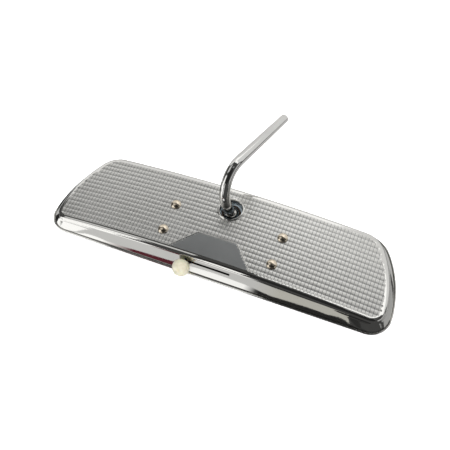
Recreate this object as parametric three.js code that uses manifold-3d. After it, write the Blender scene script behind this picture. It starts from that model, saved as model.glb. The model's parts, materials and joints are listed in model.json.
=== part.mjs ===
// Interior rearview mirror with a two-position prism glass, a pressed steel back, a sliding knob
// and a bent rod arm on a ball joint. Millimetres, +Z up. The head lies glass down: z = 0 is the
// front rim, +Z points out of the back, +Y is the mirror's top edge and the knob is on the -Y edge.
import * as THREE from 'three';
import { mergeVertices } from 'three/addons/utils/BufferGeometryUtils.js';
import Module from 'manifold-3d';

const wasm = await Module();
wasm.setup();

// ---- driving dimensions ----
const CROWN_TOP = 20.5;          // outer face of the back plate over the ball
const CROWN_K = 0.000571;        // plate drop per square millimetre from the centre, radius 875 mm
const SHEET = 0.8;               // thickness of the pressed steel
const GAP = 0.3;                 // clearance between neighbouring pieces

// outline of the flat of the back plate, seen from behind
const EDGE_BOTTOM = -42.2;
const EDGE_TOP = 15.8;
const HALF_WIDTH = 118.75;       // widest point of the plate outline
const SIDE_RADIUS = 83;
const SIDE_WIDEST_Y = -35.5;
const BOTTOM_CORNER = 7;
const TOP_CORNER = 15;
const PLATE_CENTRE_Y = -13.2;

// how far each step of the head stands outside that outline
const WALL_FOOT = 6.3;
const WALL_FOOT_Z = 5.3;
const BEZEL_OUT = 7.55;
const ROLL_OUT = 3.4;            // the bezel's front edge rolls over from here
const ROLL_Z = 5;
const BEZEL_LIP = 1.2;
const TRAY_OUT = 3.2;

// ball joint
const BALL_Z = 13.5;
const BALL_R = 6;
const LINER_R = 7;
const RING_R = 8.6;
const SOCKET_R = 8.9;
const HOLE_R = 8;
const RIVET_X = [-38.5, 41.5];   // the bracket is riveted 1.5 mm to the +X side of the ball
const RIVET_Y = [-8.9, -30.8];
const RIVET_HOLE_R = 2;

// bent rod arm, in a frame that leans with the stem
const LEAN_SIDE = -11;           // degrees, stem leans to -X
const LEAN_DOWN = 5;             // degrees, stem leans to -Y
const ROD_R = 3.7;
const ROD_TIP_R = 3.1;
const STEM = 14;                 // ball centre to the start of the bend
const BEND_R = 19.5;
const BEND_ANGLE = 109;
const BEND_AZIMUTH = 79;
const ARM = 60;

// day and night slide
const KNOB_X = -16;
const KNOB_TRAVEL = 32;
const SLOT_Z = 15;
const SLOT_HALF = 0.95;
const SHANK_R = 0.65;
const KNOB_R = 6.1;
const KNOB_Y = -52;
const BAR_Y = [-42.9, -41.4];
const BAR_MIDDLE = (BAR_Y[0] + BAR_Y[1]) / 2;
const BAR_Z = [8.25, 15.7];
const CAM_HALF = 1.35;
const PIN_R = 1.1;
const PIN_Z = 10.5;
const FOLLOWER_X = [-32, 36];
const GUIDE_X = [-25.5, 24.5];

// glass carrier
const GLASS_FRONT = 1.2;
const GLASS_EDGE = 2.4;          // glass outline outside the plate outline
const GLASS_THIN = 1.8;          // wedge thickness at the bottom edge
const GLASS_THICK = 4.8;         // wedge thickness at the top edge
const PIVOT = { x: 88, y: 15, z: 10 };
const TILT = 3;                  // degrees between day and night

const rad = THREE.MathUtils.degToRad;
const crown = (x) => -CROWN_K * x * x;
const glassBack = (y) => {
  const low = EDGE_BOTTOM - GLASS_EDGE;
  const high = EDGE_TOP + GLASS_EDGE;
  return GLASS_FRONT + GLASS_THIN + (GLASS_THICK - GLASS_THIN) * (y - low) / (high - low);
};

// ---- finishes ----
const finish = (color, roughness, metalness) =>
  new THREE.MeshStandardMaterial({ color, roughness, metalness });
const chromedSheet = finish(0xc9cbcc, 0.22, 1);
const chromedRod = finish(0xd4d6d8, 0.08, 1);
const zinc = finish(0x8d979c, 0.45, 1);
const plainSteel = finish(0x8a8c8e, 0.5, 1);
const springSteel = finish(0x5f646a, 0.4, 1);
const rivetMetal = finish(0xc9b79c, 0.3, 1);
const ivory = finish(0xddd6bb, 0.45, 0);
const fibre = finish(0x5b4633, 0.85, 0);
const card = finish(0x6b5f4c, 0.95, 0);
const silvered = finish(0xe6eaec, 0.03, 1);

// ---- outline of the head ----
// Points of the plate outline moved outwards by `out`: straight top and bottom edges, a small arc at
// each bottom corner, a long arc at each side and a larger arc at each top corner.
function outline(out) {
  const side = { x: HALF_WIDTH - SIDE_RADIUS, y: SIDE_WIDEST_Y };
  const along = (radius, y) => {
    const dy = y - side.y;
    return { x: side.x + Math.sqrt((SIDE_RADIUS - radius) ** 2 - dy * dy), y };
  };
  const low = along(BOTTOM_CORNER, EDGE_BOTTOM + BOTTOM_CORNER);
  const high = along(TOP_CORNER, EDGE_TOP - TOP_CORNER);
  const lowJoin = Math.atan2(low.y - side.y, low.x - side.x);
  const highJoin = Math.atan2(high.y - side.y, high.x - side.x);
  const right = [];
  const arc = (centre, radius, from, to, steps) => {
    for (let i = 0; i <= steps; i++) {
      const a = from + (to - from) * i / steps;
      right.push([centre.x + (radius + out) * Math.cos(a), centre.y + (radius + out) * Math.sin(a)]);
    }
  };
  const straights = [0.25, 0.6];
  for (const t of straights) right.push([low.x * t, EDGE_BOTTOM - out]);
  arc(low, BOTTOM_CORNER, -Math.PI / 2, lowJoin, 4);
  right.pop();
  arc(side, SIDE_RADIUS, lowJoin, highJoin, 5);
  right.pop();
  arc(high, TOP_CORNER, highJoin, Math.PI / 2, 4);
  for (const t of straights.toReversed()) right.push([high.x * t, EDGE_TOP + out]);
  const left = right.map(([x, y]) => [-x, y]).reverse();
  return [...right, ...left];
}

const ringAt = (out, height) => outline(out).map(([x, y]) => [x, y, height(x, y)]);
const shrunk = (out, scale, height) => outline(out).map(([x, y]) => {
  const sx = x * scale;
  const sy = PLATE_CENTRE_Y + (y - PLATE_CENTRE_Y) * scale;
  return [sx, sy, height(sx, sy)];
});

// ---- geometry helpers ----
// A closed body from rings of points. With poles, the first and last ring close on a centre point;
// without, the last ring joins the first, as round a frame.
function ringBody(rings, poles = null) {
  const n = rings[0].length;
  const points = rings.flat();
  const index = [];
  const last = poles ? rings.length - 1 : rings.length;
  for (let r = 0; r < last; r++) {
    const a = r * n;
    const b = ((r + 1) % rings.length) * n;
    for (let i = 0; i < n; i++) {
      const j = (i + 1) % n;
      index.push(a + i, b + i, a + j, a + j, b + i, b + j);
    }
  }
  if (poles) {
    const first = points.push(poles[0]) - 1;
    const end = points.push(poles[1]) - 1;
    const tail = (rings.length - 1) * n;
    for (let i = 0; i < n; i++) {
      const j = (i + 1) % n;
      index.push(first, i, j);
      index.push(end, tail + j, tail + i);
    }
  }
  const geometry = new THREE.BufferGeometry();
  geometry.setAttribute('position', new THREE.Float32BufferAttribute(points.flat(), 3));
  geometry.setIndex(index);
  return geometry;
}

function toSolid(geometry) {
  let plain = geometry.clone();
  plain.deleteAttribute('normal');
  plain.deleteAttribute('uv');
  plain = mergeVertices(plain, 1e-4);
  return new wasm.Manifold(new wasm.Mesh({
    numProp: 3,
    vertProperties: new Float32Array(plain.attributes.position.array),
    triVerts: new Uint32Array(plain.index.array),
  }));
}

function toGeometry(solid) {
  const mesh = solid.getMesh();
  const geometry = new THREE.BufferGeometry();
  geometry.setAttribute('position', new THREE.Float32BufferAttribute(mesh.vertProperties, 3));
  geometry.setIndex(new THREE.Uint32BufferAttribute(mesh.triVerts, 1));
  return geometry;
}

const join = (...parts) => toGeometry(parts.map(toSolid).reduce((a, b) => a.add(b)));
const cut = (body, ...tools) =>
  toGeometry(tools.map(toSolid).reduce((a, b) => a.subtract(b), toSolid(body)));
const common = (a, b) => toGeometry(toSolid(a).intersect(toSolid(b)));

const box = ([x0, x1], [y0, y1], [z0, z1]) =>
  new THREE.BoxGeometry(x1 - x0, y1 - y0, z1 - z0)
    .translate((x0 + x1) / 2, (y0 + y1) / 2, (z0 + z1) / 2);
const around = (middle, half) => [middle - half, middle + half];

// cylinder between two coordinates along one axis
function rod(axis, radius, from, to, [u, v], sides = 16) {
  const shape = new THREE.CylinderGeometry(radius, radius, to - from, sides);
  const middle = (from + to) / 2;
  if (axis === 'x') return shape.rotateZ(Math.PI / 2).translate(middle, u, v);
  if (axis === 'y') return shape.translate(u, middle, v);
  return shape.rotateX(Math.PI / 2).translate(u, v, middle);
}

// turned body about Z from [radius, height] pairs that go up the outside
const turned = (profile, sides = 24) =>
  new THREE.LatheGeometry(profile.map(([r, z]) => new THREE.Vector2(r, z)), sides)
    .rotateX(Math.PI / 2);

// heights and radii along a sphere between two heights
function sphereArc(radius, from, to, steps) {
  const a = Math.asin(from / radius);
  const b = Math.asin(to / radius);
  return Array.from({ length: steps + 1 }, (_, i) => {
    const t = a + (b - a) * i / steps;
    return [radius * Math.cos(t), radius * Math.sin(t)];
  });
}

// ring with a round inside and a round outside, cut flat at two heights
function sphereRing(inner, outer, low, high) {
  const outside = sphereArc(outer, low, high, 4);
  const inside = sphereArc(inner, high, low, 4);
  return turned([...outside, ...inside, outside[0]]);
}

const atBall = (geometry) => geometry.translate(0, 0, BALL_Z);

// ---- head: pressed back, front bezel ----
const plateTop = (x) => CROWN_TOP + crown(x);
const plateUnder = (x) => plateTop(x) - SHEET;

// height of the side wall at a distance outside the plate outline
const WALL_TOP = [2.9, 2.6];     // out from the outline, down from the plate edge
const wallHeight = (edge, out) => {
  const t = (out - WALL_TOP[0]) / (WALL_FOOT - WALL_TOP[0]);
  return THREE.MathUtils.lerp(edge - WALL_TOP[1], WALL_FOOT_Z, t);
};

function backShell() {
  const edgeOf = outline(0).map(([x]) => plateTop(x));
  const wallRing = (out, inset) => outline(out - inset).map(([x, y], i) =>
    [x, y, wallHeight(edgeOf[i], out)]);
  const fold = (inset) => [0.35, 0.7].map((t) => {
    const out = 2 * (1 - t) * t * 2.4 + t * t * WALL_TOP[0];
    const drop = t * t * WALL_TOP[1] + 2 * (1 - t) * t * 0.15;
    return outline(out - inset * t).map(([x, y], i) => [x, y, edgeOf[i] - drop - inset * (1 - t)]);
  });
  const steps = [0.2, 0.4, 0.6, 0.8, 0.92];
  const outer = [
    ...steps.map((s) => shrunk(0, s, plateTop)),
    ringAt(0, plateTop),
    ...fold(0),
    wallRing(WALL_TOP[0], 0),
    wallRing(WALL_FOOT, 0),
    ringAt(WALL_FOOT + 0.15, () => WALL_FOOT_Z - 0.6),
  ];
  const inner = [
    ringAt(WALL_FOOT + 0.15 - SHEET, () => WALL_FOOT_Z - 0.6),
    wallRing(WALL_FOOT, SHEET),
    wallRing(WALL_TOP[0], SHEET),
    ...fold(SHEET).reverse(),
    ringAt(0, plateUnder),
    ...steps.toReversed().map((s) => shrunk(0, s, plateUnder)),
  ];
  const pole = (height) => [0, PLATE_CENTRE_Y, height];
  const body = ringBody([...outer, ...inner], [pole(CROWN_TOP), pole(CROWN_TOP - SHEET)]);
  const lip = turned([
    [HOLE_R - 0.05, -0.3], [HOLE_R + 1.4, -0.5], [HOLE_R + 1.4, 0.15], [HOLE_R + 0.9, 0.7],
    [HOLE_R + 0.4, 0.8], [HOLE_R - 0.05, 0.4], [HOLE_R - 0.05, -0.3],
  ]).translate(0, 0, CROWN_TOP);
  const holes = [
    rod('z', HOLE_R, CROWN_TOP - 4, CROWN_TOP + 3, [0, 0], 32),
    box(around(0, KNOB_TRAVEL / 2 + SLOT_HALF), [-52, -43], around(SLOT_Z, SLOT_HALF)),
  ];
  for (const x of RIVET_X) {
    for (const y of RIVET_Y) holes.push(rod('z', RIVET_HOLE_R, 15, 24, [x, y]));
  }
  return cut(join(body, lip), ...holes);
}

function frontBezel() {
  const roll = (size, height, steps) => Array.from({ length: steps + 1 }, (_, i) => {
    const a = Math.PI / 2 * i / steps;
    return [ROLL_OUT + size * Math.cos(a), height * (1 - Math.sin(a)) + ROLL_Z - height];
  });
  const section = [
    [BEZEL_OUT - SHEET / 2, ROLL_Z + 0.3],
    ...roll(BEZEL_OUT - ROLL_OUT, ROLL_Z, 5),
    [BEZEL_LIP, 0], [BEZEL_LIP, SHEET],
    ...roll(BEZEL_OUT - ROLL_OUT - SHEET, ROLL_Z - SHEET, 4).reverse(),
  ];
  return ringBody(section.map(([out, z]) => ringAt(out, () => z)));
}

// ---- head: ball socket stack ----
function ballBracket() {
  const pad = [16.7, 17.9];
  const middle = [BALL_Z - 1.35, BALL_Z - 0.15];
  const [left, right] = RIVET_X;
  const hat = (i) => [[left - 6, pad[i]], [left + 8, pad[i]], [-20, middle[i]], [20, middle[i]],
    [right - 8, pad[i]], [right + 6, pad[i]]];
  const section = new THREE.Shape([...hat(0), ...hat(1).reverse()].map(([x, z]) =>
    new THREE.Vector2(x, z)));
  const strip = new THREE.ExtrudeGeometry(section, { depth: 49.5, bevelEnabled: false })
    .rotateX(Math.PI / 2).translate(0, 13.5, 0);
  const half = [[50, -36], [50, -4], [24, -4], [13, 7], [7, 13]];
  const plan = new THREE.Shape([...half, ...half.map(([x, y]) => [-x, y]).reverse()].map(([x, y]) =>
    new THREE.Vector2(x, y)));
  const blank = common(strip, new THREE.ExtrudeGeometry(plan, { depth: 30, bevelEnabled: false }));
  const cup = atBall(sphereRing(SOCKET_R, SOCKET_R + 1.2, -4.4, -0.15));
  const holes = [rod('z', SOCKET_R + 0.5, 5, 20, [0, 0], 32)];
  for (const x of RIVET_X) {
    for (const y of RIVET_Y) holes.push(rod('z', RIVET_HOLE_R, 12, 20, [x, y]));
  }
  return join(cut(blank, ...holes), cup);
}

function socketCollar() {
  const inside = sphereArc(SOCKET_R, 3.4, 0.15, 5);
  const profile = [[12, 0.15], [12, 2.8], [11.4, 3.4], ...inside, [12, 0.15]];
  return atBall(turned(profile));
}

function springWasher() {
  const profile = [[9.3, 4.9], [12.2, 3.7], [12.2, 4.3], [9.3, 5.5], [9.3, 4.9]];
  return atBall(turned(profile));
}

const frictionRing = () => atBall(sphereRing(LINER_R + GAP, RING_R, -3, 2.4));
const ballLiner = () => atBall(sphereRing(BALL_R + GAP, LINER_R, -2.6, 2.2));

// domed head above the back, clinched flange under the bracket
function rivet() {
  const under = CROWN_TOP + crown(RIVET_X[1]) + 0.3;
  const dome = [[3.6, 0], [3.5, 0.7], [2.9, 1.4], [1.8, 1.85], [0, 2]];
  const shank = [[0, -4.8], [2.4, -4.8], [2.9, -4.4], [2.9, -3.7], [1.7, -3.7], [1.7, 0]];
  return turned([...shank, ...dome], 12).translate(0, 0, under);
}

// ---- head: slide guides and hinge lugs ----
function slideGuide(x) {
  const width = around(x, 2.5);
  const top = BAR_Z[1] + GAP;
  const rear = [BAR_Y[1] + GAP, BAR_Y[1] + GAP + SHEET];
  const front = [BAR_Y[0] - GAP - SHEET, BAR_Y[0] - GAP];
  return join(
    box(width, [front[0], rear[1]], [top, top + SHEET]),
    box(width, front, [12, top + SHEET]),
    box(width, rear, [10, 18.7]),
    box(width, [rear[0], -36.6], [17.9, 18.7]),
  );
}

function hingeLug(side) {
  const web = side > 0 ? [PIVOT.x + 1, PIVOT.x + 2] : [-PIVOT.x - 2, -PIVOT.x - 1];
  const foot = side > 0 ? [PIVOT.x - 7, PIVOT.x + 2] : [-PIVOT.x - 2, -PIVOT.x + 7];
  const plate = join(
    box(web, [PIVOT.y - 6, PIVOT.y + 1.8], [8, 14.7]),
    box(foot, [PIVOT.y - 6, PIVOT.y - 1], [13.9, 14.7]),
  );
  return cut(plate, rod('x', PIN_R + GAP, Math.min(...web) - 1, Math.max(...web) + 1,
    [PIVOT.y, PIVOT.z]));
}

// ---- slider ----
// thin bar with two rising slots that lift the glass carrier's pins as the bar goes to +X
function slideBar() {
  const rise = Math.abs(BAR_MIDDLE - PIVOT.y) * Math.sin(rad(TILT));
  const length = Math.hypot(KNOB_TRAVEL, rise);
  const slope = Math.atan2(rise, KNOB_TRAVEL);
  const depth = { depth: 6, bevelEnabled: false, curveSegments: 6 };
  const camSlot = (x) => {
    const shape = new THREE.Shape();
    shape.absarc(0, 0, CAM_HALF, -Math.PI / 2, Math.PI / 2, false);
    shape.absarc(-length, 0, CAM_HALF, Math.PI / 2, -Math.PI / 2, false);
    return new THREE.ExtrudeGeometry(shape, depth).translate(0, 0, -3)
      .rotateZ(-slope).rotateX(Math.PI / 2).translate(x, BAR_MIDDLE, PIN_Z);
  };
  const ends = [FOLLOWER_X[0] - KNOB_TRAVEL - 3.5, FOLLOWER_X[1] + 3.5];
  const blank = join(
    box(ends, BAR_Y, BAR_Z),
    box(around(KNOB_X, 4), BAR_Y, [BAR_Z[1] - 1, 17.2]),
  );
  return cut(blank, ...FOLLOWER_X.map(camSlot),
    rod('y', SHANK_R + GAP, BAR_Y[0] - 2, BAR_Y[1] + 2, [KNOB_X, SLOT_Z]));
}

// metal shank with a riveted collar behind the bar and a collar under the knob
function knobShank() {
  const profile = [[0, 40.2], [2.2, 40.2], [2.2, 41.1], [SHANK_R, 41.1], [SHANK_R, 43.3], [2, 43.3],
    [2, 43.9], [SHANK_R, 43.9], [SHANK_R, 51.5], [0, 51.5]];
  return turned(profile, 12).rotateX(Math.PI / 2).translate(KNOB_X, 0, SLOT_Z);
}

// ball-shaped moulded knob, flat at the back, with a blind hole for the shank
function knob() {
  const back = 4.3;
  const skin = sphereArc(KNOB_R, -back, KNOB_R, 9);
  const hole = SHANK_R + GAP;
  const profile = [[0, 0.2], [hole, 0.2], [hole, -back], ...skin];
  return turned(profile, 24).rotateX(Math.PI / 2).translate(KNOB_X, KNOB_Y, SLOT_Z);
}

// ---- glass carrier ----
const CARD = [0.65, 0.3];        // backing card above the glass, top and bottom
const TRAY = [1.65, 0.95];       // back of the tray above the glass, outside and inside

const wedge = (above) => (x, y) => glassBack(y) + above;

function mirrorGlass() {
  const centre = (z) => [0, PLATE_CENTRE_Y, z];
  const rings = [ringAt(GLASS_EDGE, wedge(0)), ringAt(GLASS_EDGE, () => GLASS_FRONT)];
  return ringBody(rings, [centre(glassBack(PLATE_CENTRE_Y)), centre(GLASS_FRONT)]);
}

function backingCard() {
  const centre = (above) => [0, PLATE_CENTRE_Y, glassBack(PLATE_CENTRE_Y) + above];
  const rings = CARD.map((above) => ringAt(GLASS_EDGE - 0.2, wedge(above)));
  return ringBody(rings, CARD.map(centre));
}

function glassTray() {
  const centre = (above) => [0, PLATE_CENTRE_Y, glassBack(PLATE_CENTRE_Y) + above];
  const pan = ringBody([
    ringAt(TRAY_OUT - 0.5, wedge(TRAY[0])),
    ringAt(TRAY_OUT, wedge(TRAY[0] - 0.5)),
    ringAt(TRAY_OUT, () => GLASS_FRONT),
    ringAt(TRAY_OUT - 0.5, () => GLASS_FRONT),
    ringAt(TRAY_OUT - 0.5, wedge(TRAY[1])),
  ], [centre(TRAY[0]), centre(TRAY[1])]);
  const pieces = [pan];
  const base = (y) => glassBack(y) + TRAY[1] + 0.1;
  for (const x of FOLLOWER_X) {
    pieces.push(box(around(x, 2), [-40.2, -39.2], [base(-39.2), PIN_Z + 2.4]));
  }
  for (const side of [-1, 1]) {
    pieces.push(box(around(side * PIVOT.x, 0.5), around(PIVOT.y, 2.2), [base(PIVOT.y), PIVOT.z + 2.2]));
  }
  const holes = FOLLOWER_X.map((x) => rod('y', PIN_R + 0.2, -41, -38, [x, PIN_Z]));
  holes.push(...[-1, 1].map((side) => rod('x', PIN_R + 0.2, side * PIVOT.x - 1, side * PIVOT.x + 1,
    [PIVOT.y, PIVOT.z])));
  return cut(join(...pieces), ...holes);
}

// headed pin, from [radius, distance] pairs along its own axis
const pinProfile = (length) => [[0, 0], [1.9, 0], [1.9, 0.7], [PIN_R, 0.7], [PIN_R, length], [0, length]];

// lifting pin: head inside the lug, tail through the lug and the bar's slot
const followerPin = (x) => turned(pinProfile(5.6), 12).rotateX(Math.PI / 2)
  .translate(x, -38.2, PIN_Z);

// hinge pin: head inside the tray's ear, tail through the ear and the lug
const pivotPin = (side) => turned(pinProfile(5.2), 12).rotateY(side * Math.PI / 2)
  .translate(side * (PIVOT.x - 1.5), PIVOT.y, PIVOT.z);

// ---- ball and arm, along their own axis ----
function swivelBall() {
  const skin = sphereArc(BALL_R, -4.9, 4.5, 8);
  const profile = [[0, -4.9], ...skin, [2.3, 4.5], [2.3, -1], [0, -1]];
  return turned(profile);
}

// stem, bend and tapering straight, as rings round a plane centre line
function armRod() {
  const sides = 16;
  const angle = rad(BEND_ANGLE);
  const points = [[0, -0.6, 2], [0, 4.7, 2], [0, 4.8, ROD_R], [0, STEM, ROD_R]];
  const bends = 12;
  for (let i = 1; i <= bends; i++) {
    const a = angle * i / bends;
    points.push([BEND_R * (1 - Math.cos(a)), STEM + BEND_R * Math.sin(a), ROD_R]);
  }
  const [startU, startW] = points.at(-1);
  for (const [t, shrink] of [[0.33, 0], [0.66, 0], [0.985, 0], [1, 0.7]]) {
    const radius = THREE.MathUtils.lerp(ROD_R, ROD_TIP_R, t) - shrink;
    points.push([startU + ARM * t * Math.sin(angle), startW + ARM * t * Math.cos(angle), radius]);
  }
  const heading = (i) => {
    if (i < 4) return 0;
    return i < 4 + bends ? angle * (i - 3) / bends : angle;
  };
  const azimuth = rad(BEND_AZIMUTH);
  const place = (u, v, w) => [u * Math.cos(azimuth) - v * Math.sin(azimuth),
    u * Math.sin(azimuth) + v * Math.cos(azimuth), w];
  const rings = points.map(([u, w, radius], i) => Array.from({ length: sides }, (_, k) => {
    const a = 2 * Math.PI * k / sides;
    const across = radius * Math.cos(a);
    return place(u + across * Math.cos(heading(i)), -radius * Math.sin(a),
      w - across * Math.sin(heading(i)));
  }));
  const middle = ([u, w]) => place(u, 0, w);
  return ringBody(rings, [middle(points[0]), middle(points.at(-1))]);
}

// ---- assembly ----
const mirror = new THREE.Group();
const head = new THREE.Group();
mirror.add(head);

function put(parent, name, geometry, material) {
  const mesh = new THREE.Mesh(geometry, material);
  mesh.name = name;
  parent.add(mesh);
  return mesh;
}

put(head, 'back_shell', backShell(), chromedSheet);
put(head, 'front_bezel', frontBezel(), chromedSheet);
put(head, 'ball_bracket', ballBracket(), plainSteel);
put(head, 'socket_collar', socketCollar(), zinc);
put(head, 'spring_washer', springWasher(), springSteel);

let rivetNumber = 0;
for (const x of RIVET_X) {
  for (const y of RIVET_Y) {
    rivetNumber += 1;
    put(head, `rivet_${rivetNumber}`, rivet(), rivetMetal).position.set(x, y, 0);
  }
}
GUIDE_X.forEach((x, i) => put(head, `slide_guide_${i + 1}`, slideGuide(x), plainSteel));
put(head, 'hinge_lug_left', hingeLug(-1), plainSteel);
put(head, 'hinge_lug_right', hingeLug(1), plainSteel);

put(head, 'slide_bar', slideBar(), plainSteel);
put(head, 'knob_shank', knobShank(), plainSteel);
put(head, 'knob', knob(), ivory);

put(head, 'mirror_glass', mirrorGlass(), silvered);
put(head, 'backing_card', backingCard(), card);
put(head, 'glass_tray', glassTray(), plainSteel);
FOLLOWER_X.forEach((x, i) => put(head, `follower_pin_${i + 1}`, followerPin(x), plainSteel));
put(head, 'pivot_pin_left', pivotPin(-1), plainSteel);
put(head, 'pivot_pin_right', pivotPin(1), plainSteel);

put(head, 'friction_ring', frictionRing(), zinc);
put(head, 'ball_liner', ballLiner(), fibre);

const stem = new THREE.Group();
stem.position.z = BALL_Z;
stem.rotation.set(rad(LEAN_DOWN), rad(LEAN_SIDE), 0, 'YXZ');
head.add(stem);
put(stem, 'swivel_ball', swivelBall(), chromedRod);
put(stem, 'arm_rod', armRod(), chromedRod);

// the origin is under the middle of the whole mirror, from the knob to the arm's tip
const extent = new THREE.Box3().setFromObject(head, true);
head.position.y = -(extent.min.y + extent.max.y) / 2;

export default mirror;
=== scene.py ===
import json
import math

import bmesh
import bpy
import numpy as np
from mathutils import Matrix, Vector


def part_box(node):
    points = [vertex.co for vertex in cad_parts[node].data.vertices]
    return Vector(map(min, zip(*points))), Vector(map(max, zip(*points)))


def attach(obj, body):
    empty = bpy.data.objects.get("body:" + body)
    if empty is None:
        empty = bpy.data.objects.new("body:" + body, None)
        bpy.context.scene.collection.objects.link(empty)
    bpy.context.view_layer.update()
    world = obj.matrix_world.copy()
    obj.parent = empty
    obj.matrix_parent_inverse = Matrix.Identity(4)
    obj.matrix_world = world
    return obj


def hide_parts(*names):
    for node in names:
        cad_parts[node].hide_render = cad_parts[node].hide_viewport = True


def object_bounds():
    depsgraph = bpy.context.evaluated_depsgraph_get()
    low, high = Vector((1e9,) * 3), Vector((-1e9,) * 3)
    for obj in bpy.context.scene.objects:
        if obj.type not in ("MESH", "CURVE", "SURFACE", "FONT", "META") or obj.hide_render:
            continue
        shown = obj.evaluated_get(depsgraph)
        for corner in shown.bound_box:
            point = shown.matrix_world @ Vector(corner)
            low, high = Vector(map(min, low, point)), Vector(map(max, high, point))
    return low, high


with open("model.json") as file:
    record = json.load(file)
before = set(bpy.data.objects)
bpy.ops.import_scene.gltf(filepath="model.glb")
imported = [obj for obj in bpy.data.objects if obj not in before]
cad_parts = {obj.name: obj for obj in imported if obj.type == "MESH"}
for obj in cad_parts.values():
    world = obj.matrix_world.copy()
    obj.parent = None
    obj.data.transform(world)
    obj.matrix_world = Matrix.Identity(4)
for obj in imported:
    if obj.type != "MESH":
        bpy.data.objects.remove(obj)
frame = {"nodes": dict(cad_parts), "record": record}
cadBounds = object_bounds()

mm = 0.001
joints = {joint["name"]: joint for joint in frame["record"]["behaviour"]["joints"]}
ballCentre = np.array(joints["ball_tilt_x"]["pos_m"])
stemAxis = Vector(joints["arm_spin"]["axis"])
headShift = np.array([0.0, ballCentre[1], 0.0])     # head sizes are measured from the ball's axis
ballHeight = ballCentre[2] / mm
print("frame loaded:", len(frame["nodes"]), "nodes")


# A shape is a pair (points, quads), with its points in head millimetres.

# quads between neighbouring points of a grid, which may close on itself either way
def gridQuads(rows, columns, closeRows=False, closeColumns=False):
    r = np.arange(rows if closeRows else rows - 1)[:, None]
    c = np.arange(columns if closeColumns else columns - 1)[None, :]
    down, right = (r + 1) % rows, (c + 1) % columns
    corners = [r * columns + c, r * columns + right, down * columns + right, down * columns + c]
    return np.stack(np.broadcast_arrays(*corners), -1).reshape(-1, 4)


def unit(vectors):
    return vectors / np.maximum(np.linalg.norm(vectors, axis=-1, keepdims=True), 1e-12)


# corner c becomes (1-t)^2 start + 2(1-t)t c + t^2 end, where start and end lie `radius` along its edges
def rounded(corners, radius, steps=4):
    corners = np.asarray(corners, float)
    radius = np.broadcast_to(np.asarray(radius, float), len(corners))[:, None]
    towards = np.roll(corners, 1, 0) - corners, np.roll(corners, -1, 0) - corners
    reach = [np.minimum(radius, 0.49 * np.linalg.norm(v, axis=1, keepdims=True)) for v in towards]
    start, end = (corners + unit(v) * r for v, r in zip(towards, reach))
    t = np.linspace(0, 1, steps + 1)[None, :, None]
    curve = (1 - t) ** 2 * start[:, None] + 2 * (1 - t) * t * corners[:, None] + t ** 2 * end[:, None]
    return curve.reshape(-1, 2)


# profile (r, z) turned about an axis: origin + r cos(a) u + r sin(a) v + z axis
def turned(profile, origin=(0, 0, 0), axis=(0, 0, 1), sides=64):
    w = Vector(axis).normalized()
    u = w.orthogonal().normalized()
    v = w.cross(u)
    a = np.linspace(0, 2 * np.pi, sides, endpoint=False)
    r, z = (np.asarray(profile, float)[:, k][:, None, None] for k in (0, 1))
    circle = np.cos(a)[:, None] * np.array(u) + np.sin(a)[:, None] * np.array(v)
    points = np.array(origin) + r * circle[None] + z * np.array(w)
    return points.reshape(-1, 3), gridQuads(len(profile), sides, True, True)


# heights z and radii sqrt(R^2 - z^2) along a ball, evenly spaced in angle
def ballArc(radius, low, high, steps):
    a = np.linspace(math.asin(low / radius), math.asin(high / radius), steps + 1)
    return np.stack([radius * np.cos(a), radius * np.sin(a)], -1)


# circle of the given radius carried along a path: p + r cos(a) (t x across) + r sin(a) across
def swept(path, radii, across, sides=48):
    path = np.asarray(path, float)
    tangent = unit(np.gradient(path, axis=0))
    side = unit(np.cross(tangent, np.asarray(across, float)))
    lift = np.cross(side, tangent)
    a = np.linspace(0, 2 * np.pi, sides, endpoint=False)[None, :, None]
    r = np.asarray(radii, float)[:, None, None]
    points = path[:, None] + r * (np.cos(a) * side[:, None] + np.sin(a) * lift[:, None])
    return points.reshape(-1, 3), gridQuads(len(path), sides, False, True)


def combined(*shapes):
    starts = np.cumsum([0] + [len(points) for points, quads in shapes[:-1]])
    points = np.concatenate([points for points, quads in shapes])
    return points, np.concatenate([quads + s for s, (points, quads) in zip(starts, shapes)])


def newPiece(name, shape, outward=True):
    points, quads = shape
    mesh = bpy.data.meshes.new(name)
    mesh.from_pydata((points * mm + headShift).tolist(), [], quads.tolist())
    work = bmesh.new()
    work.from_mesh(mesh)
    bmesh.ops.remove_doubles(work, verts=work.verts, dist=1e-7)     # closes seams and poles
    if outward:
        bmesh.ops.recalc_face_normals(work, faces=work.faces)
    work.to_mesh(mesh)
    work.free()
    piece = bpy.data.objects.new(name, mesh)
    bpy.context.scene.collection.objects.link(piece)
    return piece


def finishPiece(piece, body, nodes, materials, sharpAngle=35):
    for material in materials:
        piece.data.materials.append(material)
    piece.data.polygons.foreach_set("use_smooth", np.ones(len(piece.data.polygons), bool))
    piece.data.set_sharp_from_angle(angle=math.radians(sharpAngle))
    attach(piece, body)
    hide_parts(*nodes)


# sRGB hex to linear, with alpha 1
def linear(colour):
    srgb = np.array([int(colour[i:i + 2], 16) for i in (1, 3, 5)]) / 255
    low, high = srgb / 12.92, ((srgb + 0.055) / 1.055) ** 2.4
    return (*np.where(srgb <= 0.04045, low, high).tolist(), 1.0)


def newMaterial(name):
    material = bpy.data.materials.new(name)
    material.use_nodes = True
    tree = material.node_tree
    return material, tree, tree.nodes["Principled BSDF"]


# one node with its settings; an input is a value or the output socket it is linked from
def addNode(tree, kind, inputs, **settings):
    node = tree.nodes.new(kind)
    for key, value in settings.items():
        setattr(node, key, value)
    for socket, value in inputs.items():
        if isinstance(value, bpy.types.NodeSocket):
            tree.links.new(value, node.inputs[socket])
        else:
            node.inputs[socket].default_value = value
    return node


def perMetre(millimetres):
    return 1 / (millimetres * mm)           # noise scale for a feature of that size


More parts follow.
